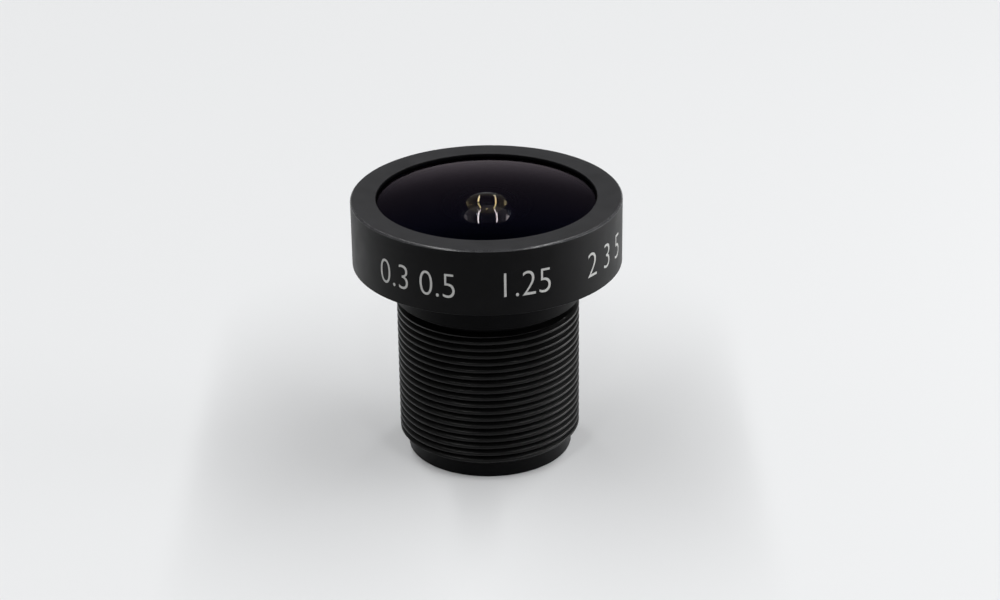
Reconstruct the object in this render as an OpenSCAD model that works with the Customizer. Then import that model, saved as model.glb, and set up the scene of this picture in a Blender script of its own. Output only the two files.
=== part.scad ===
// Wide-angle board lens with an M12 by 0.5 barrel, standing on its rear end.
// Z runs along the optical axis from the rear face, at zero, to the front glass.
// Sizes are in millimetres.

/* [Threaded barrel] */
// Major diameter of the mounting thread, in the middle of its tolerance
thread_d = 11.94; // [11.4:0.02:13]
// Length of the full thread
thread_len = 9.25; // [8:0.25:14]
// Distance from crest to crest of the thread
thread_pitch = 0.5; // [0.4:0.05:1]
// Depth of the thread's grooves
thread_depth = 0.3; // [0.2:0.02:0.34]
// Height of the cone that leads into the thread
lead_len = 0.35; // [0.2:0.05:0.6]
// Step in radius from the thread down to the plain pilot
pilot_step = 0.55; // [0.4:0.01:0.8]
// Length of the plain pilot at the rear end
pilot_len = 1.0; // [0.6:0.1:2]
// Length of the relief groove above the thread
relief_len = 0.36; // [0.2:0.02:0.8]
// Depth of the relief groove below the thread's crests
relief_depth = 0.42; // [0.35:0.01:0.7]
// Wall of the barrel round the rear retaining ring
rear_wall = 0.72; // [0.5:0.02:0.9]

/* [Collar and head] */
// Diameter of the collar above the relief groove
collar_d = 12.26; // [12.26:0.02:13]
// Length of the collar's straight part
collar_len = 1.44; // [1:0.02:3]
// Height of the cone that opens from the collar to the head
flare_len = 1.05; // [0.8:0.05:2]
// Wall of the head round the front glass
head_wall = 0.58; // [0.4:0.02:0.8]
// Distance that the lens stack keeps below the cap's inner shoulder
head_gap = 0.1; // [0.05:0.05:0.3]

/* [Front cap] */
// Outer diameter of the cap, which is the widest part
cap_d = 17.5; // [17:0.5:20]
// Height of the cap
cap_len = 4.4; // [4:0.1:6]
// Wall of the cap round the head
cap_wall = 0.72; // [0.5:0.02:1]
// Height that the cap hangs below the head's lower edge
cap_drop = 0.2; // [0:0.05:0.4]
// Width of glass that the cap's lip covers
lip_cover = 0.3; // [0.2:0.05:0.6]
// Depth of the glass's edge below the cap's top face
glass_drop = 0.25; // [0.15:0.05:0.5]
// Chamfer on the cap's outer top edge
cap_chamfer = 0.1; // [0.05:0.01:0.2]
// Small break on the other turned edges
edge_break = 0.05; // [0.02:0.01:0.1]

/* [Front element] */
// Radius of curvature of the front glass's outer face
front_radius = 30; // [20:1:60]
// Thickness of the front glass on the axis
front_thick = 1.7; // [1.4:0.05:2]
// Radius of curvature of the front glass's inner bowl
bowl_radius = 3.4; // [2.8:0.1:4]
// Depth of the inner bowl
bowl_depth = 1.6; // [1.3:0.1:1.9]
// Thickness of the rubber seal's round section
seal_thick = 0.76; // [0.5:0.02:1]

/* [Second element] */
// Width of the flat land round the second element's front face
second_land = 1.9; // [1.6:0.05:2.2]
// Radius of curvature of the second element's front face
second_radius = 12; // [8:0.5:20]
// Thickness of the second element on the axis
second_thick = 1.7; // [1.3:0.1:1.8]
// Radius of curvature of the second element's rear hollow
second_hollow = 12; // [8:0.5:20]
// Diameter of the second element's rear hollow
second_hollow_d = 5.2; // [4.6:0.2:5.6]

/* [Inner stack] */
// Thickness of the web between the front bore and the rear bore
web_thick = 0.6; // [0.4:0.1:1.2]
// Step in radius from the ring's bore to the rear elements' bore
ring_step = 0.3; // [0.2:0.05:0.5]
// Step in radius from the rear elements' bore to the middle elements' bore
bore_step = 0.4; // [0.2:0.05:0.6]
// Width of the flat land round each middle element
land = 1.0; // [0.8:0.1:1.4]
// Thickness of each black light shield
shield_thick = 0.08; // [0.05:0.01:0.15]
// Air gap on the axis between a glass face and what follows it
air_gap = 0.25; // [0.15:0.05:0.5]

/* [Third and fourth elements] */
// Edge thickness of the third element
third_edge = 0.9; // [0.8:0.1:1.6]
// Radius of curvature of the third element's front face
third_front = 8; // [6:0.5:14]
// Radius of curvature of the third element's rear face
third_rear = 12; // [8:0.5:20]
// Thickness of the aperture stop
stop_thick = 0.1; // [0.05:0.01:0.2]
// Diameter of the aperture stop's hole
stop_d = 2.0; // [1:0.1:3]
// Edge thickness of the fourth element
fourth_edge = 0.8; // [0.5:0.1:1.5]
// Radius of curvature of the fourth element's front face
fourth_front = 8; // [6:0.5:14]
// Radius of curvature of the fourth element's rear face
fourth_rear = 6; // [5:0.5:12]

/* [Cemented pair] */
// Radius of curvature of the pair's front hollow
pair_front = 8; // [6:0.5:14]
// Thickness on the axis of the pair's front element
pair_thick = 0.6; // [0.4:0.05:1]
// Radius of curvature of the cemented faces
pair_joint = 5; // [4.2:0.2:8]
// Width of the front element's flat land round the cemented face
pair_land = 1.48; // [1.3:0.02:1.8]
// Edge thickness of the pair's rear element
pair_edge = 0.5; // [0.3:0.1:1]
// Radius of curvature of the pair's rear face
pair_rear = 6; // [5:0.5:12]
// Thickness of the cement film
cement = 0.01; // [0.005:0.005:0.02]

/* [Rear end] */
// Edge thickness of the rear element
rear_edge = 0.8; // [0.6:0.1:1.5]
// Radius of curvature of the rear element's front face
rear_front = 9; // [6:0.5:16]
// Thickness of the rear retaining ring
ring_thick = 1.3; // [1:0.1:2]
// Distance of the retaining ring inside the rear face
ring_recess = 0.7; // [0.4:0.1:1.2]
// Width of the ring's ledge under the filter
filter_ledge = 0.6; // [0.4:0.05:0.8]
// Width of the ring's rim outside the filter
ring_rim = 0.65; // [0.5:0.05:0.9]
// Thickness of the infrared filter
filter_thick = 0.3; // [0.2:0.05:0.5]
// Distance of the filter inside the ring's rear face
filter_inset = 0.05; // [0.02:0.01:0.1]
// Width of each spanner notch in the ring
notch_w = 0.8; // [0.6:0.1:1.2]
// Depth of each spanner notch in the ring
notch_depth = 0.5; // [0.4:0.1:0.8]

/* [Fits] */
// Radial play of a glass element or spacer in its bore
glass_play = 0.02; // [0.01:0.01:0.05]
// Radial play between mating threads, drawn as plain cylinders
thread_play = 0.03; // [0.02:0.01:0.05]
// Gap left behind a shoulder that must not bear
free_gap = 0.05; // [0.03:0.01:0.1]

/* [Hidden] */
$fn = 160;
// How far one solid runs into another before they are joined or cut
sink = 0.05;
// How far a cut runs past the face that it opens
past = 1;

black_metal = [0.10, 0.10, 0.11];
black_foil = [0.05, 0.05, 0.05];
rubber_black = [0.07, 0.07, 0.07];
glass_violet = [0.45, 0.42, 0.58, 0.5];
glass_amber = [0.70, 0.60, 0.40, 0.5];
glass_green = [0.50, 0.62, 0.55, 0.5];
filter_red = [0.75, 0.45, 0.50, 0.6];

// Depth of a spherical face of radius curve at the distance across from its axis
function sag(curve, across) = curve - sqrt(curve * curve - across * across);

// Radius of the mouth of a spherical hollow of that curve and depth
function mouth(curve, depth) = sqrt(2 * curve * depth - depth * depth);

// Barrel radii and levels, from the rear face upwards
thread_r = thread_d / 2;
pilot_r = thread_r - pilot_step;
relief_r = thread_r - relief_depth;
collar_r = collar_d / 2;
z_thread = pilot_len + lead_len;
z_relief = z_thread + thread_len;
thread_turns = floor(thread_len / thread_pitch);
thread_crest = thread_pitch / 8;
thread_start = z_thread + (thread_len - thread_turns * thread_pitch) / 2;
thread_root_r = thread_r - thread_depth;
z_collar = z_relief + relief_len;
z_flare = z_collar + collar_len;
z_head = z_flare + flare_len;

// Cap and head radii, from the outside inwards
cap_r = cap_d / 2;
cap_bore_r = cap_r - cap_wall;
head_r = cap_bore_r - thread_play;
front_bore_r = head_r - head_wall;
front_r = front_bore_r - glass_play;
opening_r = front_r - lip_cover;
z_cap = z_head - cap_drop;
z_cap_top = z_cap + cap_len;

// Front glass
bowl_r = mouth(bowl_radius, bowl_depth);
z_glass_edge = z_cap_top - glass_drop;
z_front_apex = z_glass_edge + sag(front_radius, opening_r);
z_seat = z_front_apex - front_thick - bowl_depth;
gland = seal_thick + 2 * glass_play;
front_neck_r = front_bore_r - gland;
seal_r = front_bore_r - gland / 2;
lip_fall = (sag(front_radius, front_r) - sag(front_radius, opening_r)) / (front_r - opening_r);
z_lip_tip = z_glass_edge + glass_play;
z_lip_root = z_lip_tip - (cap_bore_r - opening_r) * lip_fall;
z_head_top = z_lip_root - head_gap;

// Second element and its bore
second_r = bowl_r + second_land;
second_bore_r = second_r + glass_play;
second_face_r = second_r - second_land - head_gap;
second_hollow_r = second_hollow_d / 2;
z_second = z_seat - shield_thick;
z_second_apex = z_second + sag(second_radius, second_face_r);
z_second_rear = z_second_apex - second_thick - sag(second_hollow, second_hollow_r);
z_web_top = z_second_rear - shield_thick;
z_web = z_web_top - web_thick;

// Rear bores
ring_bore_r = pilot_r - rear_wall;
rear_bore_r = ring_bore_r - ring_step;
middle_bore_r = rear_bore_r - bore_step;
middle_r = middle_bore_r - glass_play;
rear_r = rear_bore_r - glass_play;
face_r = middle_r - land;
web_hole_r = face_r + free_gap;

// Levels of the stack below the web
z_third_rear = z_web - third_edge;
z_stop_top = z_third_rear - sag(third_rear, face_r) - air_gap;
z_stop = z_stop_top - stop_thick;
z_fourth = z_stop - air_gap - sag(fourth_front, face_r);
z_fourth_rear = z_fourth - fourth_edge;
z_pair = z_fourth_rear - sag(fourth_rear, face_r) - air_gap;
z_joint = z_pair - sag(pair_front, face_r) - pair_thick;
pair_r = rear_r - pair_land;
z_pair_land = z_joint - sag(pair_joint, pair_r);
z_pair_edge = z_pair_land - pair_edge;
z_bore_step = z_pair + free_gap;

// Levels of the rear end, counted up from the rear face
z_ring = ring_recess;
z_ring_top = z_ring + ring_thick;
z_rear_flat = z_ring_top + shield_thick;
z_rear = z_rear_flat + rear_edge;
z_ring_bore = z_ring_top + free_gap;
ring_r = ring_bore_r - thread_play;
filter_bore_r = ring_r - ring_rim;
filter_r = filter_bore_r - glass_play;
ring_hole_r = filter_bore_r - filter_ledge;
z_filter = z_ring + filter_inset;
z_filter_top = z_filter + filter_thick;
rear_face_r = pair_r;
spacer_hole_r = pair_r + free_gap;

// Round bar of one radius between two levels
module rod(radius, low, high) {
    translate([0, 0, low]) cylinder(r = radius, h = high - low);
}

// Flat ring between two levels
module washer(outer, inner, low, high) {
    difference() {
        rod(outer, low, high);
        rod(inner, low - past, high + past);
    }
}

// Spherical face that stands up from the level and meets it at the distance across
module dome_up(curve, across, level) {
    height = sag(curve, across);
    intersection() {
        translate([0, 0, level + height - curve]) sphere(r = curve);
        rod(across, level - sink, level + height + past);
    }
}

// The same face, hanging down from the level
module dome_down(curve, across, level) {
    translate([0, 0, level]) mirror([0, 0, 1]) dome_up(curve, across, 0);
}

// Ball that cuts a hollow into a face from above
module hollow_top(curve, across, level) {
    translate([0, 0, level + curve - sag(curve, across)]) sphere(r = curve);
}

// Ball that cuts a hollow into a face from below
module hollow_bottom(curve, across, level) {
    translate([0, 0, level - curve + sag(curve, across)]) sphere(r = curve);
}

// One turned piece: pilot, thread, relief groove, collar, flare and head, bored from both ends.
// The thread is drawn as a stack of ring grooves with its pitch, depth and crests
module barrel() {
    color(black_metal)
    difference() {
        rotate_extrude()
        polygon([
            [0, 0],
            [pilot_r - edge_break, 0],
            [pilot_r, edge_break],
            [pilot_r, pilot_len],
            [thread_r, z_thread],
            for (turn = [0 : thread_turns - 1], corner = [0 : 2])
                [corner == 1 ? thread_root_r : thread_r,
                 thread_start + turn * thread_pitch + thread_crest / 2 + corner * (thread_pitch - thread_crest) / 2],
            [thread_r, z_relief],
            [relief_r, z_relief],
            [relief_r, z_collar],
            [collar_r - edge_break, z_collar],
            [collar_r, z_collar + edge_break],
            [collar_r, z_flare],
            [head_r, z_head],
            [head_r, z_head_top],
            [0, z_head_top]
        ]);
        rod(front_bore_r, z_seat, z_head_top + past);
        rod(second_bore_r, z_web_top, z_seat + sink);
        rod(web_hole_r, z_web - sink, z_web_top + sink);
        rod(middle_bore_r, z_bore_step - sink, z_web);
        rod(rear_bore_r, z_ring_bore - sink, z_bore_step);
        rod(ring_bore_r, -past, z_ring_bore);
    }
}

// Retaining cap that screws over the head and holds the front glass under its lip
module front_cap() {
    color(black_metal)
    rotate_extrude()
    polygon([
        [cap_bore_r, z_cap],
        [cap_r - edge_break, z_cap],
        [cap_r, z_cap + edge_break],
        [cap_r, z_cap_top - cap_chamfer],
        [cap_r - cap_chamfer, z_cap_top],
        [opening_r + edge_break, z_cap_top],
        [opening_r, z_cap_top - edge_break],
        [opening_r, z_lip_tip],
        [cap_bore_r, z_lip_root]
    ]);
}

// Rubber ring in the gland between the front glass and the head
module front_seal() {
    color(rubber_black)
    translate([0, 0, z_seat + gland / 2])
    rotate_extrude()
    translate([seal_r, 0])
    circle(d = seal_thick, $fn = 48);
}

// Outer meniscus, with a neck at its rear edge that leaves the seal its room
module front_element() {
    color(glass_violet)
    difference() {
        intersection() {
            union() {
                rod(front_neck_r, z_seat, z_seat + gland + sink);
                rod(front_r, z_seat + gland, z_front_apex + past);
            }
            translate([0, 0, z_front_apex - front_radius]) sphere(r = front_radius);
        }
        hollow_bottom(bowl_radius, bowl_r, z_seat);
    }
}

// Black foil between the front glass and the second element
module front_shield() {
    color(black_foil)
    washer(second_r, second_face_r, z_second, z_seat);
}

// Second meniscus
module second_element() {
    color(glass_amber)
    difference() {
        union() {
            rod(second_r, z_second_rear, z_second);
            dome_up(second_radius, second_face_r, z_second);
        }
        hollow_bottom(second_hollow, second_hollow_r, z_second_rear);
    }
}

// Black foil between the second element and the barrel's web
module second_shield() {
    color(black_foil)
    washer(second_r, second_hollow_r, z_web_top, z_second_rear);
}

// Thick lens that seats against the web from the rear
module third_element() {
    color(glass_green)
    union() {
        rod(middle_r, z_third_rear, z_web);
        dome_up(third_front, face_r, z_web);
        dome_down(third_rear, face_r, z_third_rear);
    }
}

// Spacer between the third element and the stop
module third_spacer() {
    color(black_metal)
    washer(middle_r, face_r + free_gap, z_stop_top, z_third_rear);
}

// Thin disc whose hole sets the aperture
module aperture_stop() {
    color(black_foil)
    washer(middle_r, stop_d / 2, z_stop, z_stop_top);
}

// Spacer between the stop and the fourth element
module stop_spacer() {
    color(black_metal)
    washer(middle_r, face_r + free_gap, z_fourth, z_stop);
}

// Double convex lens behind the stop
module fourth_element() {
    color(glass_green)
    union() {
        rod(middle_r, z_fourth_rear, z_fourth);
        dome_up(fourth_front, face_r, z_fourth);
        dome_down(fourth_rear, face_r, z_fourth_rear);
    }
}

// Spacer between the fourth element and the cemented pair
module fourth_spacer() {
    color(black_metal)
    washer(middle_r, face_r + free_gap, z_pair, z_fourth_rear);
}

// Front half of the cemented pair, hollow on both faces
module pair_front_element() {
    color(glass_amber)
    difference() {
        rod(rear_r, z_pair_land, z_pair);
        hollow_top(pair_front, face_r, z_pair);
        hollow_bottom(pair_joint, pair_r, z_pair_land);
    }
}

// Rear half of the cemented pair, held by its cement
module pair_rear_element() {
    color(glass_green)
    translate([0, 0, -cement])
    union() {
        rod(pair_r, z_pair_edge, z_pair_land);
        dome_up(pair_joint, pair_r, z_pair_land);
        dome_down(pair_rear, pair_r, z_pair_edge);
    }
}

// Long spacer that takes up the length between the pair and the rear element
module pair_spacer() {
    color(black_metal)
    washer(rear_r, spacer_hole_r, z_rear, z_pair_land);
}

// Rear lens, flat towards the sensor
module rear_element() {
    color(glass_green)
    union() {
        rod(rear_r, z_rear_flat, z_rear);
        dome_up(rear_front, rear_face_r, z_rear);
    }
}

// Black foil between the rear element and the retaining ring
module rear_shield() {
    color(black_foil)
    washer(rear_r, ring_hole_r, z_ring_top, z_rear_flat);
}

// Screwed ring that clamps the rear stack, with a seat for the filter and two spanner notches
module rear_retaining_ring() {
    color(black_metal)
    difference() {
        washer(ring_r, ring_hole_r, z_ring, z_ring_top);
        rod(filter_bore_r, z_ring - past, z_filter_top);
        for (side = [0, 180])
            rotate([0, 0, side])
            translate([filter_bore_r - sink, -notch_w / 2, z_ring - past])
            cube([ring_rim + past, notch_w, notch_depth + past]);
    }
}

// Thin infrared filter glued on the ring's ledge
module infrared_filter() {
    color(filter_red)
    rod(filter_r, z_filter, z_filter_top);
}

barrel();
front_cap();
front_seal();
front_element();
front_shield();
second_element();
second_shield();
third_element();
third_spacer();
aperture_stop();
stop_spacer();
fourth_element();
fourth_spacer();
pair_front_element();
pair_rear_element();
pair_spacer();
rear_element();
rear_shield();
rear_retaining_ring();
infrared_filter();
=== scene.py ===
# %% [markdown]
# # A wide-angle board lens
# The object is a small lens for an action camera: a black threaded barrel, a wide cap that holds the
# front glass, and a stack of coated glass that shows deep inside. The solid model gives every size.
# This script dresses it: it turns the visible pieces again as smooth meshes, cuts the real thread, and
# gives each piece the finish of the real one.

# %% Load the frame
import math

import bmesh
import bpy
from mathutils import Matrix, Vector


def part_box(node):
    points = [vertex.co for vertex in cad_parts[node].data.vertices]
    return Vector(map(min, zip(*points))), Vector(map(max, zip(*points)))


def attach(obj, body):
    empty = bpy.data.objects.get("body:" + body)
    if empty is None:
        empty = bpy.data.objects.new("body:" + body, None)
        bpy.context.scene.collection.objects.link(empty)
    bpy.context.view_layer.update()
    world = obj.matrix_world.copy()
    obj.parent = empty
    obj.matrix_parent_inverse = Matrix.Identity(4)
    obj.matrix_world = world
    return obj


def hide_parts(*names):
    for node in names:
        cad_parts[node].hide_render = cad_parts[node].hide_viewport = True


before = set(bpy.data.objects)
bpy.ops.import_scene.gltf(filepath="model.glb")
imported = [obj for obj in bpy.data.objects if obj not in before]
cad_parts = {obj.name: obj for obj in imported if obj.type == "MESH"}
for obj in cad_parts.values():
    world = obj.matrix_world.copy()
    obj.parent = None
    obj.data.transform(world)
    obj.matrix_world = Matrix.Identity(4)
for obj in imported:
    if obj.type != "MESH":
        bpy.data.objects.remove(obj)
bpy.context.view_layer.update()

MM = 0.001

# %% [markdown]
# ## Sizes
# A turned part is described by radii and levels. Most of them are read from the solids' boxes, so that
# a mesh and its solid can't drift apart. The rest, such as a radius of curvature, are named here in
# millimetres, as on the drawing.

# %% Radii and levels from the solids, in millimetres
def reach(node):
    """Radius, lowest level and highest level of a round solid, in millimetres."""
    low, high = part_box(node)
    return high.x / MM, low.z / MM, high.z / MM


HEAD_R, _, HEAD_TOP = reach("barrel")
CAP_R, CAP_LOW, CAP_TOP = reach("front_cap")
GLASS_R, SEAT, GLASS_TOP = reach("front_element")
SECOND_R, SECOND_LOW, SECOND_TOP = reach("second_element")
SHIELD_R, SHIELD_LOW, _ = reach("front_shield")
WEB_R, WEB_TOP, _ = reach("second_shield")
THIRD_R, THIRD_LOW, THIRD_TOP = reach("third_element")
PAIR_R, _, PAIR_TOP = reach("pair_front_element")
RING_R, RING_LOW, RING_TOP = reach("rear_retaining_ring")
FILTER_R, FILTER_LOW, FILTER_TOP = reach("infrared_filter")

# %% Values from the drawing, in millimetres
THREAD_R = 5.97
PITCH = 0.5
PILOT_R = 5.42
PILOT_LEN = 1.0
THREAD_LOW = 1.35
THREAD_HIGH = 10.6
RELIEF_R = 5.55
RELIEF_HIGH = 10.96
COLLAR_R = 6.13
FLARE_LOW = 12.4
FLARE_HIGH = 13.45
CAP_WALL = 0.72
CAP_CHAMFER = 0.1
LIP_COVER = 0.3
GLASS_DROP = 0.25
FRONT_CURVE = 30.0
BOWL_CURVE = 3.4
BOWL_DEPTH = 1.6
SECOND_CURVE = 12.0
HOLLOW_CURVE = 12.0
HOLLOW_R = 2.6
THIRD_FRONT_CURVE = 8.0
THIRD_REAR_CURVE = 12.0
GLASS_PLAY = 0.02
THREAD_PLAY = 0.03
HEAD_GAP = 0.1
FREE_GAP = 0.05
EDGE_BREAK = 0.05

OPENING_R = GLASS_R - LIP_COVER
GLASS_EDGE = CAP_TOP - GLASS_DROP
GLAND = 0.8
BOWL_R = math.sqrt(2 * BOWL_CURVE * BOWL_DEPTH - BOWL_DEPTH ** 2)
SECOND_FACE_R = BOWL_R - HEAD_GAP
THIRD_FACE_R = THIRD_R - 1.0
print("cap radius", round(CAP_R, 3), "opening radius", round(OPENING_R, 3), "glass top", round(GLASS_TOP, 3))

# %% [markdown]
# ## Turning
# Every piece here came off a lathe or a lens grinder, so one tool makes nearly all of them: a profile is
# drawn as a few points in the XZ plane and spun round Z. A cube with a Subdivision Surface would only
# come near such a shape, and Blender's own cylinder has no profile. Spinning keeps true radii.

# %% A profile and its spin
STEPS = 192
WELD = 0.002 * MM
SHARP = math.radians(32)


def sag(curve, across):
    """Depth of a spherical face of that curve, at the distance across from its axis."""
    return curve - math.sqrt(curve * curve - across * across)


def arc(curve, apex, inner, outer, count, upward=1):
    """Points of a spherical face from radius inner to radius outer, falling away from its apex."""
    radii = [inner + (outer - inner) * i / count for i in range(count + 1)]
    return [(r, apex - upward * sag(curve, r)) for r in radii]


def wire(points, closed=False):
    """A bmesh that holds one polyline, from radius and level in millimetres."""
    bm = bmesh.new()
    verts = [bm.verts.new((r * MM, 0, z * MM)) for r, z in points]
    ends = verts[1:] + verts[:1] if closed else verts[1:]
    for a, b in zip(verts, ends):
        bm.edges.new((a, b))
    return bm


def turned(points, closed=False):
    """The polyline spun once round Z, with its poles closed and its faces outwards."""
    bm = wire(points, closed)
    bmesh.ops.spin(bm, geom=bm.verts[:] + bm.edges[:], cent=(0, 0, 0), axis=(0, 0, 1),
                   angle=math.tau, steps=STEPS, use_merge=True, use_duplicate=False)
    bmesh.ops.remove_doubles(bm, verts=bm.verts, dist=WELD)
    bmesh.ops.recalc_face_normals(bm, faces=bm.faces)
    return bm


def round_rings(bm, width, segments=3, wanted=lambda r, z: True):
    """Rounds the sharp turned edges whose radius and level are wanted."""
    rings = []
    for edge in bm.edges:
        middle = (edge.verts[0].co + edge.verts[1].co) / 2
        if edge.calc_face_angle(0) > SHARP and wanted(middle.xy.length / MM, middle.z / MM):
            rings.append(edge)
    bmesh.ops.bevel(bm, geom=rings, offset=width * MM, offset_type="OFFSET", segments=segments,
                    profile=0.5, affect="EDGES", material=-1, clamp_overlap=True)
    return bm


# %% [markdown]
# ## Handing a mesh over
# A finished piece is one object at the origin, with its place in its mesh. The Weighted Normal modifier
# lets the large faces set the shading, so that a narrow bevel catches the light and a flat face stays flat.

# %% From bmesh to piece
def piece(name, bm, materials, replaced=()):
    """Makes the object, shades it, and hangs it on the frame."""
    for face in bm.faces:
        face.smooth = True
    for edge in bm.edges:
        edge.smooth = edge.calc_face_angle(0) < SHARP
    mesh = bpy.data.meshes.new(name)
    bm.to_mesh(mesh)
    bm.free()
    for material in materials:
        mesh.materials.append(material)
    obj = bpy.data.objects.new(name, mesh)
    bpy.context.scene.collection.objects.link(obj)
    weights = obj.modifiers.new("even_shading", "WEIGHTED_NORMAL")
    weights.keep_sharp = True
    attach(obj, "root")
    if replaced:
        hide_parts(*replaced)
    print(name, "faces:", len(mesh.polygons))
    return obj


# %% [markdown]
# ## Materials
# One small function adds a node, sets it and links it. Colours are written as sRGB hex values, as a
# paint chart gives them, and turned to the linear light that a shader works in.

# %% Node and colour helpers
def linear(code):
    """A hex colour as linear red, green, blue and alpha."""
    parts = [int(code[i:i + 2], 16) / 255 for i in (1, 3, 5)]
    return [c / 12.92 if c < 0.04045 else ((c + 0.055) / 1.055) ** 2.4 for c in parts] + [1.0]


def add(tree, kind, settings=(), links=()):
    """Adds a node. A setting is a socket's value or the node's own property, and a link is a source."""
    made = tree.nodes.new(kind)
    for name, value in dict(settings).items():
        if isinstance(name, int) or name in made.inputs:
            made.inputs[name].default_value = value
        else:
            setattr(made, name, value)
    for name, source in dict(links).items():
        tree.links.new(source, made.inputs[name])
    return made


def blank(name):
    """A new material with an empty tree, and its output node."""
    material = bpy.data.materials.new(name)
    material.use_nodes = True
    material.node_tree.nodes.clear()
    return material, material.node_tree, add(material.node_tree, "ShaderNodeOutputMaterial")


def finish_nodes(tree, output, shader):
    tree.links.new(shader.outputs[0], output.inputs["Surface"])


# %% [markdown]
# ### Black anodised aluminium
# The barrel and the cap are turned from aluminium, bead blasted lightly and dyed black in the anodising
# bath. The dyed oxide swallows nearly all light: the face is a very dark grey with a soft, weak sheen
# that only brightens at a flat angle. Fine tool marks run round the axis, and the blasting leaves a
# grain. A metal shader would shine too much here, so the oxide is a rough dielectric with a low
# specular level.

# %% Black anodised aluminium
GRAIN_MM = 0.05
TOOL_MARK_MM = 0.035


def anodised(name, colour, roughness, shine, face_on, mark_depth):
    """Dyed oxide with tool marks round the axis and a blasted grain, and its shine's face-on share."""
    material, tree, output = blank(name)
    place = add(tree, "ShaderNodeTexCoord").outputs["Object"]
    split = add(tree, "ShaderNodeSeparateXYZ", links={"Vector": place})
    flat = add(tree, "ShaderNodeCombineXYZ", links={"X": split.outputs["X"], "Y": split.outputs["Y"]})
    across = add(tree, "ShaderNodeVectorMath", {"operation": "LENGTH"}, {0: flat.outputs[0]})
    rings = add(tree, "ShaderNodeCombineXYZ", links={"X": across.outputs["Value"], "Y": split.outputs["Z"]})
    marks = add(tree, "ShaderNodeTexNoise",
                {"noise_dimensions": "2D", "Scale": 1 / (TOOL_MARK_MM * MM), "Detail": 1.0},
                {"Vector": rings.outputs[0]})
    grain = add(tree, "ShaderNodeTexNoise", {"Scale": 1 / (GRAIN_MM * MM), "Detail": 2.0}, {"Vector": place})
    cloud = add(tree, "ShaderNodeTexNoise", {"Scale": 1 / (1.2 * MM), "Detail": 3.0}, {"Vector": place})
    height = add(tree, "ShaderNodeMath", {"operation": "MULTIPLY_ADD", 1: 0.5},
                 {0: grain.outputs[0], 2: marks.outputs[0]})
    bump = add(tree, "ShaderNodeBump", {"Strength": mark_depth, "Distance": 0.004 * MM},
               {"Height": height.outputs[0]})
    mixed = add(tree, "ShaderNodeMath", {"operation": "MULTIPLY_ADD", 1: 0.4},
                {0: grain.outputs[0], 2: cloud.outputs[0]})
    dull = add(tree, "ShaderNodeMapRange",
               {"From Min": 0.4, "From Max": 1.0, "To Min": roughness - 0.04, "To Max": roughness + 0.05},
               {"Value": mixed.outputs[0]})
    tone = add(tree, "ShaderNodeMapRange",
               {"From Min": 0.4, "From Max": 1.0, "To Min": 0.8, "To Max": 1.25},
               {"Value": mixed.outputs[0]})
    dyed = add(tree, "ShaderNodeVectorMath", {"operation": "SCALE", 0: linear(colour)[:3]},
               {"Scale": tone.outputs[0]})
    shader = add(tree, "ShaderNodeBsdfPrincipled",
                 {"Specular IOR Level": shine, "Specular Tint": (face_on, face_on, face_on, 1.0)},
                 {"Base Color": dyed.outputs[0], "Roughness": dull.outputs[0], "Normal": bump.outputs[0]})
    finish_nodes(tree, output, shader)
    return material


# the top face: the cap's black oxide with its colour painted much lighter than the side's, painted light for the light
# that falls on the top from above
CAP_FACE_PAINTED_LIGHT = anodised("black_anodised_face_painted_light", "#272729", 0.55, 0.3, 1.0, 0.25)
CAP_BLACK = anodised("black_anodised_cap", "#0a0a0b", 0.45, 0.25, 0.22, 0.2)
# the chamfer: smoother and shinier, so it catches the lamps, and its colour painted lighter than the rim's, a painted
# highlight along the bright line round the top
CAP_EDGE_PAINTED_HIGHLIGHT = anodised("anodised_edge_painted_highlight", "#363638", 0.26, 0.5, 1.0, 0.1)
BARREL_BLACK = anodised("black_anodised_barrel", "#0b0b0c", 0.4, 0.1, 0.22, 0.12)
THREAD_BLACK = anodised("black_anodised_thread", "#060606", 0.34, 0.36, 0.45, 0.12)
INNER_BLACK = anodised("black_anodised_inside", "#030303", 0.8, 0.02, 1.0, 0.1)

# %% [markdown]
# ### Glass, paint, film, rubber and ink
# The lenses are polished optical glass with an anti-reflection coating, which cuts the reflection from a
# few per cent to under one and leaves a faint violet, amber or green tint. The edges that the light
# must not cross are painted matt black, as opticians do.

# %% Coated glass
def coated_glass(name, ior, tint, residue, film_nm=0.0, film_ior=1.38):
    """Clear optical glass, whose coating leaves a reflection of the residue's colour and strength."""
    material, tree, output = blank(name)
    shader = add(tree, "ShaderNodeBsdfPrincipled",
                 {"Base Color": linear(tint), "Roughness": 0.0, "IOR": ior, "Transmission Weight": 1.0,
                  "Specular Tint": linear(residue), "Thin Film Thickness": film_nm, "Thin Film IOR": film_ior})
    finish_nodes(tree, output, shader)
    return material


def matt(name, colour, roughness, shine, grain_mm, depth):
    """A dull surface with a fine grain."""
    material, tree, output = blank(name)
    place = add(tree, "ShaderNodeTexCoord").outputs["Object"]
    grain = add(tree, "ShaderNodeTexNoise", {"Scale": 1 / (grain_mm * MM), "Detail": 3.0}, {"Vector": place})
    bump = add(tree, "ShaderNodeBump", {"Strength": depth, "Distance": 0.01 * MM}, {"Height": grain.outputs[0]})
    tone = add(tree, "ShaderNodeMapRange", {"From Min": 0.3, "From Max": 0.7, "To Min": 0.85, "To Max": 1.1},
               {"Value": grain.outputs[0]})
    colours = add(tree, "ShaderNodeVectorMath", {"operation": "SCALE", 0: linear(colour)[:3]},
                  {"Scale": tone.outputs[0]})
    shader = add(tree, "ShaderNodeBsdfPrincipled", {"Roughness": roughness, "Specular IOR Level": shine},
                 {"Base Color": colours.outputs[0], "Normal": bump.outputs[0]})
    finish_nodes(tree, output, shader)
    return material


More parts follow.
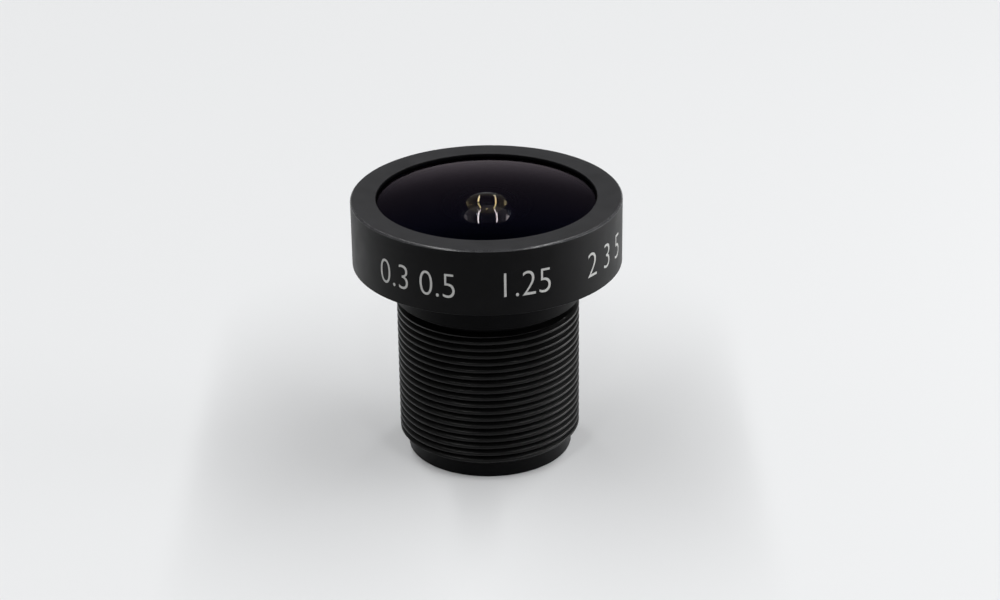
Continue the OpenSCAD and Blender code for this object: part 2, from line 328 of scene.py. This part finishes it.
FRONT_GLASS = coated_glass("violet_coated_glass", 1.77, "#f6f5fa", "#dad4dc", 132.0)
BOWL_GLASS = coated_glass("gold_coated_glass", 1.77, "#f6f5fa", "#ffe293")
SECOND_GLASS = coated_glass("clear_coated_glass", 1.62, "#fbf8f4", "#141414")
HOLLOW_GLASS = coated_glass("rose_coated_glass", 1.62, "#fbf8f4", "#ffe4d0", 80.0, 1.9)
THIRD_GLASS = coated_glass("dark_rose_coated_glass", 1.85, "#f6eef2", "#2c181e")
REAR_GLASS = coated_glass("green_coated_glass", 1.62, "#eef6f0", "#22302a")
FILTER_GLASS = coated_glass("infrared_filter_glass", 1.52, "#d8f0ee", "#ff9a8a", 320.0)
EDGE_PAINT = matt("black_edge_paint", "#020202", 0.95, 0.0, 0.05, 0.1)
BLACK_FILM = matt("black_film", "#030303", 0.9, 0.02, 0.05, 0.1)
SEAL_RUBBER = matt("seal_rubber", "#0b0b0b", 0.55, 0.3, 0.06, 0.2)
LASER_MARK = matt("laser_marked_oxide", "#b1b1af", 0.7, 0.3, 0.08, 0.3)

# %% [markdown]
# ## The thread
# A thread is a profile of one pitch swept round and upwards. Spin takes a dvec, the climb at each step,
# which turns it into a screw. The sweep is longer than the thread. Then each point outside the lead-in
# cone or past an end is drawn in to it, which is what the lathe's chamfering tool does, and the points
# that fall together are welded.

# %% Sweep and chamfer the thread
ROOT_R = 5.675
CREST_ROUND = 0.14
RUN_OUT = 0.2
THREAD_PHASE = 0.185
CLIMB = PITCH / STEPS
CONE_LOW = PILOT_LEN + 0.12
CONE_SLOPE = (THREAD_R - PILOT_R) / (THREAD_LOW - PILOT_LEN)
RUN_OUT_SLOPE = (THREAD_R - RELIEF_R) / RUN_OUT
CREST = [(ROOT_R, 0), (ROOT_R + 0.015, 0.01)]
CREST += [(THREAD_R - CREST_ROUND * (1 - math.cos(math.radians(slope))),
           PITCH / 2 - CREST_ROUND * math.sin(math.radians(slope))) for slope in (60, 48, 36, 24, 12, 0)]


def thread_limit(z):
    """Largest radius that the chamfering tool leaves at a level."""
    lead_in = PILOT_R + (z - PILOT_LEN) * CONE_SLOPE
    run_out = RELIEF_R + (THREAD_HIGH - z) * RUN_OUT_SLOPE
    return min(lead_in, run_out, THREAD_R)


def thread_sweep():
    """The thread's skin, open at both ends, where its edge is a true circle."""
    start = CONE_LOW - 2 * PITCH + THREAD_PHASE
    turns = math.ceil((THREAD_HIGH - start) / PITCH) + 1
    rising = [(r, start + z) for r, z in CREST]
    falling = [(r, start + PITCH - z) for r, z in reversed(CREST[:-1])]
    bm = wire(rising + falling)
    bmesh.ops.spin(bm, geom=bm.verts[:] + bm.edges[:], cent=(0, 0, 0), axis=(0, 0, 1),
                   dvec=(0, 0, CLIMB * MM), angle=math.tau, steps=STEPS, use_merge=False, use_duplicate=False)
    one_turn = bm.verts[:] + bm.edges[:] + bm.faces[:]
    for turn in range(1, turns):
        copy = bmesh.ops.duplicate(bm, geom=one_turn)["geom"]
        above = [item for item in copy if isinstance(item, bmesh.types.BMVert)]
        bmesh.ops.translate(bm, verts=above, vec=(0, 0, turn * PITCH * MM))
    bmesh.ops.remove_doubles(bm, verts=bm.verts, dist=WELD)
    for vert in bm.verts:
        z = min(max(vert.co.z / MM, CONE_LOW), THREAD_HIGH)
        r = min(vert.co.xy.length / MM, thread_limit(z))
        direction = vert.co.xy.normalized()
        vert.co = (direction.x * r * MM, direction.y * r * MM, z * MM)
    bmesh.ops.remove_doubles(bm, verts=bm.verts, dist=WELD)
    bmesh.ops.delete(bm, geom=[e for e in bm.edges if not e.link_faces], context="EDGES")
    return bm


# %% [markdown]
# ## The barrel
# The rest of the barrel is one open profile: from the thread's foot round the pilot, up through the
# bores, over the head and down to the relief groove. Its two rims have the same points as the thread's,
# so the weld closes the barrel into one solid.

# %% Turn the barrel and weld the thread to it
FRONT_BORE_R = GLASS_R + GLASS_PLAY
SECOND_BORE_R = SECOND_R + GLASS_PLAY
WEB_LOW = THIRD_TOP - sag(THIRD_FRONT_CURVE, THIRD_FACE_R)
WEB_HOLE_R = THIRD_FACE_R + FREE_GAP
MIDDLE_BORE_R = THIRD_R + GLASS_PLAY
REAR_BORE_R = PAIR_R + GLASS_PLAY
RING_BORE_R = RING_R + THREAD_PLAY
STEP_LEVEL = PAIR_TOP + FREE_GAP
RING_BORE_TOP = RING_TOP + FREE_GAP

barrel_profile = [
    (thread_limit(CONE_LOW), CONE_LOW), (PILOT_R, PILOT_LEN), (PILOT_R, EDGE_BREAK), (PILOT_R - EDGE_BREAK, 0),
    (RING_BORE_R, 0), (RING_BORE_R, RING_BORE_TOP), (REAR_BORE_R, RING_BORE_TOP), (REAR_BORE_R, STEP_LEVEL),
    (MIDDLE_BORE_R, STEP_LEVEL), (MIDDLE_BORE_R, WEB_LOW), (WEB_HOLE_R, WEB_LOW), (WEB_HOLE_R, WEB_TOP),
    (SECOND_BORE_R, WEB_TOP), (SECOND_BORE_R, SEAT), (FRONT_BORE_R, SEAT), (FRONT_BORE_R, HEAD_TOP),
    (HEAD_R, HEAD_TOP), (HEAD_R, FLARE_HIGH), (COLLAR_R, FLARE_LOW), (COLLAR_R, RELIEF_HIGH + EDGE_BREAK),
    (COLLAR_R - EDGE_BREAK, RELIEF_HIGH), (RELIEF_R, RELIEF_HIGH), (RELIEF_R, THREAD_HIGH),
]
barrel = turned(barrel_profile)
round_rings(barrel, 0.04, 2, lambda r, z: z < THREAD_HIGH or r < COLLAR_R - 0.2)
thread = thread_sweep()
swept = bpy.data.meshes.new("thread_sweep")
thread.to_mesh(swept)
thread.free()
barrel.from_mesh(swept)
bpy.data.meshes.remove(swept)
bmesh.ops.remove_doubles(barrel, verts=barrel.verts, dist=WELD)
bmesh.ops.recalc_face_normals(barrel, faces=barrel.faces)
print("open edges left on the barrel:", sum(1 for e in barrel.edges if len(e.link_faces) != 2))
for face in barrel.faces:
    middle = face.calc_center_median()
    inside = middle.xy.length / MM < RING_BORE_R - 0.01 and middle.z / MM > 0.01
    across = middle.xy.length / MM
    if inside or (middle.z / MM > SEAT - 0.01 and across < HEAD_R - 0.05):
        face.material_index = 1
    elif across > RELIEF_R and CONE_LOW < middle.z / MM < THREAD_HIGH:
        face.material_index = 2
piece("barrel_turned", barrel, [BARREL_BLACK, INNER_BLACK, THREAD_BLACK], ["barrel"])

# %% [markdown]
# ## The front cap
# The cap is a plain ring whose lip bears on the glass. Its outer top edge has a small flat chamfer, which
# draws the bright line round the top in the light, so the chamfer stays flat and only its own edges are
# rounded a little. The chamfer's colour is also painted lighter than the rim's: a painted highlight on
# that line.

# %% Turn the cap
CAP_BORE_R = CAP_R - CAP_WALL
CAP_FOOT = 0.02
LIP_FALL = (sag(FRONT_CURVE, GLASS_R) - sag(FRONT_CURVE, OPENING_R)) / (GLASS_R - OPENING_R)
LIP_TIP = GLASS_EDGE + GLASS_PLAY
LIP_ROOT = LIP_TIP - (CAP_BORE_R - OPENING_R) * LIP_FALL
cap = turned([
    (CAP_BORE_R, CAP_LOW), (CAP_R - CAP_FOOT, CAP_LOW), (CAP_R, CAP_LOW + CAP_FOOT),
    (CAP_R, CAP_TOP - CAP_CHAMFER), (CAP_R - CAP_CHAMFER, CAP_TOP), (OPENING_R + EDGE_BREAK, CAP_TOP),
    (OPENING_R, CAP_TOP - EDGE_BREAK), (OPENING_R, LIP_TIP), (CAP_BORE_R, LIP_ROOT),
], closed=True)
round_rings(cap, 0.015, 2, lambda r, z: z > CAP_LOW + 0.1)
for face in cap.faces:
    middle = face.calc_center_median()
    across = middle.xy.length / MM
    # the chamfer takes the oxide painted lighter, a painted highlight
    if across > CAP_R - CAP_CHAMFER - 0.01 and middle.z / MM > CAP_TOP - CAP_CHAMFER - 0.01:
        face.material_index = 2
    # the flat top takes the oxide painted lighter, painted light from above
    elif across > OPENING_R and middle.z / MM > CAP_TOP - 0.02:
        face.material_index = 1
piece("cap_turned", cap, [CAP_BLACK, CAP_FACE_PAINTED_LIGHT, CAP_EDGE_PAINTED_HIGHLIGHT], ["front_cap"])

# %% [markdown]
# ## Numbers on the rim
# The real rim carries pale marks, which a laser leaves in the dyed oxide. Here they are the plain numbers
# of a distance scale. A curve modifier could bend a text, but the piece would then depend on a second
# object. So the text is made a flat mesh, cut into narrow strips so that it can bend, wrapped on the rim,
# and given a little depth so that it is a closed solid.

# %% Mark the numbers
LETTER_EM = 2.44
LETTER_WIDTH = 0.87
LETTER_THIN = 0.035
STRIP = 0.15
MARK_PROUD = 0.004
MARK_DEEP = 0.03
NUMBERS = (("0.3 0.5", -31.0, 14.33), ("1.25", 15.8, 14.45), ("2 3 5", 59.8, 14.45))


def flat_text(words):
    """The words as a flat mesh in millimetres, centred on X."""
    curve = bpy.data.curves.new("rim_text", "FONT")
    curve.body = words
    curve.size = LETTER_EM
    curve.offset = -LETTER_THIN
    curve.align_x = "CENTER"
    holder = bpy.data.objects.new("rim_text", curve)
    mesh = bpy.data.meshes.new_from_object(holder)
    bm = bmesh.new()
    bm.from_mesh(mesh)
    bpy.data.objects.remove(holder)
    bpy.data.curves.remove(curve)
    bpy.data.meshes.remove(mesh)
    bmesh.ops.remove_doubles(bm, verts=bm.verts, dist=0.001)
    return bm


marks = bmesh.new()
for words, azimuth, level in NUMBERS:
    bm = flat_text(words)
    widths = [v.co.x for v in bm.verts]
    print(words, "is", round((max(widths) - min(widths)) * LETTER_WIDTH, 2), "mm wide")
    cut = min(widths) + STRIP
    while cut < max(widths):
        bmesh.ops.bisect_plane(bm, geom=bm.verts[:] + bm.edges[:] + bm.faces[:], dist=0.0005,
                               plane_co=(cut, 0, 0), plane_no=(1, 0, 0))
        cut += STRIP
    outer_r = CAP_R + MARK_PROUD
    for vert in bm.verts:
        turn = math.radians(azimuth) + vert.co.x * LETTER_WIDTH / outer_r
        vert.co = Vector((math.sin(turn), -math.cos(turn), 0)) * outer_r * MM + Vector((0, 0, (level + vert.co.y) * MM))
    skin = bm.faces[:]
    inner = bmesh.ops.extrude_face_region(bm, geom=skin)["geom"]
    for vert in [item for item in inner if isinstance(item, bmesh.types.BMVert)]:
        flat = vert.co.xy * (1 - (MARK_PROUD + MARK_DEEP) / outer_r)
        vert.co = (flat.x, flat.y, vert.co.z)
    part = bpy.data.meshes.new("rim_part")
    bm.to_mesh(part)
    bm.free()
    marks.from_mesh(part)
    bpy.data.meshes.remove(part)
bmesh.ops.recalc_face_normals(marks, faces=marks.faces)
print("open edges left on the numbers:", sum(1 for e in marks.edges if len(e.link_faces) != 2))
piece("rim_numbers", marks, [LASER_MARK])

# %% [markdown]
# ## The glass that shows
# A lens is a solid with two ground faces. Both must be there: the light bends at each, and the small
# reflections deep in the middle come from the faces of the second and third elements. The painted
# faces get a second material by their place.

# %% Grind the three front elements
def ground(name, points, front, rear, middle_level, clear, node):
    """A lens with a clear front face and rear face where clear(radius, level) says so, else painted."""
    bm = turned(points)
    for face in bm.faces:
        middle = face.calc_center_median()
        level = middle.z / MM
        face.material_index = (0 if level > middle_level else 1) if clear(middle.xy.length / MM, level) else 2
    return piece(name, bm, [front, rear, EDGE_PAINT], [node])


FACE_POINTS = 40
FRONT_NECK_R = FRONT_BORE_R - GLAND
front_points = arc(FRONT_CURVE, GLASS_TOP, 0, GLASS_R, FACE_POINTS)
front_points += [(GLASS_R, SEAT + GLAND), (FRONT_NECK_R, SEAT + GLAND), (FRONT_NECK_R, SEAT)]
front_points += reversed(arc(BOWL_CURVE, SEAT + sag(BOWL_CURVE, BOWL_R), 0, BOWL_R, FACE_POINTS))
ground("front_element_ground", front_points, FRONT_GLASS, BOWL_GLASS, GLASS_EDGE - 0.1,
       lambda r, z: (z > GLASS_EDGE - 0.1 and r < OPENING_R + 0.1) or (r < BOWL_R and z > SEAT + 0.001),
       "front_element")

second_points = arc(SECOND_CURVE, SECOND_TOP, 0, SECOND_FACE_R, FACE_POINTS)
second_points += [(SECOND_R, second_points[-1][1]), (SECOND_R, SECOND_LOW)]
second_points += reversed(arc(HOLLOW_CURVE, SECOND_LOW + sag(HOLLOW_CURVE, HOLLOW_R), 0, HOLLOW_R, FACE_POINTS))
ground("second_element_ground", second_points, SECOND_GLASS, HOLLOW_GLASS, SECOND_LOW + 0.6,
       lambda r, z: (r < SECOND_FACE_R and z > SHIELD_LOW) or (r < HOLLOW_R and z > SECOND_LOW + 0.001),
       "second_element")

third_points = arc(THIRD_FRONT_CURVE, THIRD_TOP, 0, THIRD_FACE_R, FACE_POINTS)
third_points += [(THIRD_R, WEB_LOW), (THIRD_R, THIRD_LOW + sag(THIRD_REAR_CURVE, THIRD_FACE_R))]
third_points += reversed(arc(THIRD_REAR_CURVE, THIRD_LOW, 0, THIRD_FACE_R, FACE_POINTS, upward=-1))
ground("third_element_ground", third_points, THIRD_GLASS, THIRD_GLASS, THIRD_LOW + 0.5,
       lambda r, z: r < THIRD_FACE_R, "third_element")

# %% [markdown]
# ## The pieces that stay as solids
# The spacers, films and rear glass are hidden inside, and their solids already have the right shape. They
# keep their meshes and only get their finish.

# %% Finishes for the solids that stay
FINISHES = {
    "front_seal": SEAL_RUBBER, "front_shield": BLACK_FILM, "second_shield": BLACK_FILM,
    "third_spacer": INNER_BLACK, "aperture_stop": BLACK_FILM, "stop_spacer": INNER_BLACK,
    "fourth_element": REAR_GLASS, "fourth_spacer": INNER_BLACK, "pair_front_element": REAR_GLASS,
    "pair_rear_element": REAR_GLASS, "pair_spacer": INNER_BLACK, "rear_element": REAR_GLASS,
    "rear_shield": BLACK_FILM, "rear_retaining_ring": BARREL_BLACK, "infrared_filter": FILTER_GLASS,
}
for node, material in FINISHES.items():
    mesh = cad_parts[node].data
    mesh.materials.clear()
    mesh.materials.append(material)

# %% [markdown]
# ## Floor and light
# The lens stands on a plain pale floor. The light is that of a small photo tent: a bright low horizon all
# round, two tall soft lights at the sides and a soft one above, and dark above that.

# %% Floor
floor_material, floor_tree, floor_output = blank("pale_floor")
floor_shader = add(floor_tree, "ShaderNodeBsdfPrincipled",
                   {"Base Color": linear("#e6e7e8"), "Roughness": 0.95, "Specular IOR Level": 0.1})
finish_nodes(floor_tree, floor_output, floor_shader)
floor_mesh = bpy.data.meshes.new("floor")
floor_bm = bmesh.new()
bmesh.ops.create_grid(floor_bm, x_segments=1, y_segments=1, size=1.5)
floor_bm.to_mesh(floor_mesh)
floor_bm.free()
floor_mesh.materials.append(floor_material)
floor = bpy.data.objects.new("floor", floor_mesh)
bpy.context.scene.collection.objects.link(floor)

# %% Light
world = bpy.data.worlds.new("photo_tent")
bpy.context.scene.world = world
world.use_nodes = True
sky = world.node_tree
sky.nodes.clear()
direction = add(sky, "ShaderNodeTexCoord").outputs["Generated"]
height = add(sky, "ShaderNodeSeparateXYZ", links={"Vector": direction}).outputs["Z"]
fade = add(sky, "ShaderNodeMapRange", {"interpolation_type": "SMOOTHSTEP", "From Min": 0.02, "From Max": 0.4,
                                       "To Min": 0.34, "To Max": 0.14}, {"Value": height})
zenith = add(sky, "ShaderNodeMapRange", {"interpolation_type": "SMOOTHSTEP", "From Min": 0.6, "From Max": 0.85,
                                         "To Min": 1.0, "To Max": 0.1}, {"Value": height})
both = add(sky, "ShaderNodeMath", {"operation": "MULTIPLY"}, {0: fade.outputs[0], 1: zenith.outputs[0]})
glow = add(sky, "ShaderNodeBackground", {"Color": (1.0, 1.0, 1.0, 1.0)}, {"Strength": both.outputs[0]})
out = add(sky, "ShaderNodeOutputWorld")
sky.links.new(glow.outputs[0], out.inputs["Surface"])


def softbox(name, place, target, width, height_m, power):
    """A rectangular light that faces its target."""
    lamp = bpy.data.lights.new(name, "AREA")
    lamp.shape = "RECTANGLE"
    lamp.size = width
    lamp.size_y = height_m
    lamp.energy = power
    obj = bpy.data.objects.new(name, lamp)
    obj.location = place
    obj.rotation_euler = (Vector(target) - Vector(place)).to_track_quat("-Z", "Y").to_euler()
    bpy.context.scene.collection.objects.link(obj)
    return obj


for side, strip_x, strip_power, panel_x, panel_power in (("left", -0.24, 2.6, -0.85, 0.2),
                                                         ("right", 0.3, 3.15, 0.85, 0.8)):
    softbox("strip_" + side, (strip_x, 0.02, 0.5), (strip_x, 0.02, 0), 0.04, 1.1, strip_power)
    softbox("panel_" + side, (panel_x, 0, 0.22), (0, 0, 0.01), 0.4, 0.3, panel_power)
softbox("low_card", (0.12, 0.0, 0.0065), (0, 0, 0.0065), 0.1, 0.011, 0.07)
softbox("small_lamp", (0.006, -0.47, 0.47), (0, 0, 0.015), 0.05, 0.05, 0.15)

# %% [markdown]
# ## Camera
# The camera stands where the photographer's did: 161 mm from the lens, 25 degrees above the floor, with a
# long lens and a slight roll. These values came from fitting the object's outlines.

# %% Camera
CAMERA_FOCAL = 88.77
CAMERA_DISTANCE = 161.45
CAMERA_ELEVATION = math.radians(25.27)
CAMERA_ROLL = math.radians(-0.776)
CAMERA_TARGET = Vector((0.786, 0, 10.186))

back = Vector((0, -math.cos(CAMERA_ELEVATION), math.sin(CAMERA_ELEVATION)))
right = Vector((1, 0, 0))
up = back.cross(right)
right_rolled = math.cos(CAMERA_ROLL) * right + math.sin(CAMERA_ROLL) * up
up_rolled = math.cos(CAMERA_ROLL) * up - math.sin(CAMERA_ROLL) * right
camera_data = bpy.data.cameras.new("camera")
camera_data.sensor_width = 36.0
camera_data.lens = CAMERA_FOCAL
camera_data.clip_start = 0.01
camera_data.clip_end = 10.0
camera = bpy.data.objects.new("camera", camera_data)
turn = Matrix((right_rolled, up_rolled, back)).transposed()
camera.matrix_world = Matrix.Translation((CAMERA_TARGET + back * CAMERA_DISTANCE) * MM) @ turn.to_4x4()
bpy.context.scene.collection.objects.link(camera)
bpy.context.scene.camera = camera
bpy.context.scene.view_settings.view_transform = "Standard"
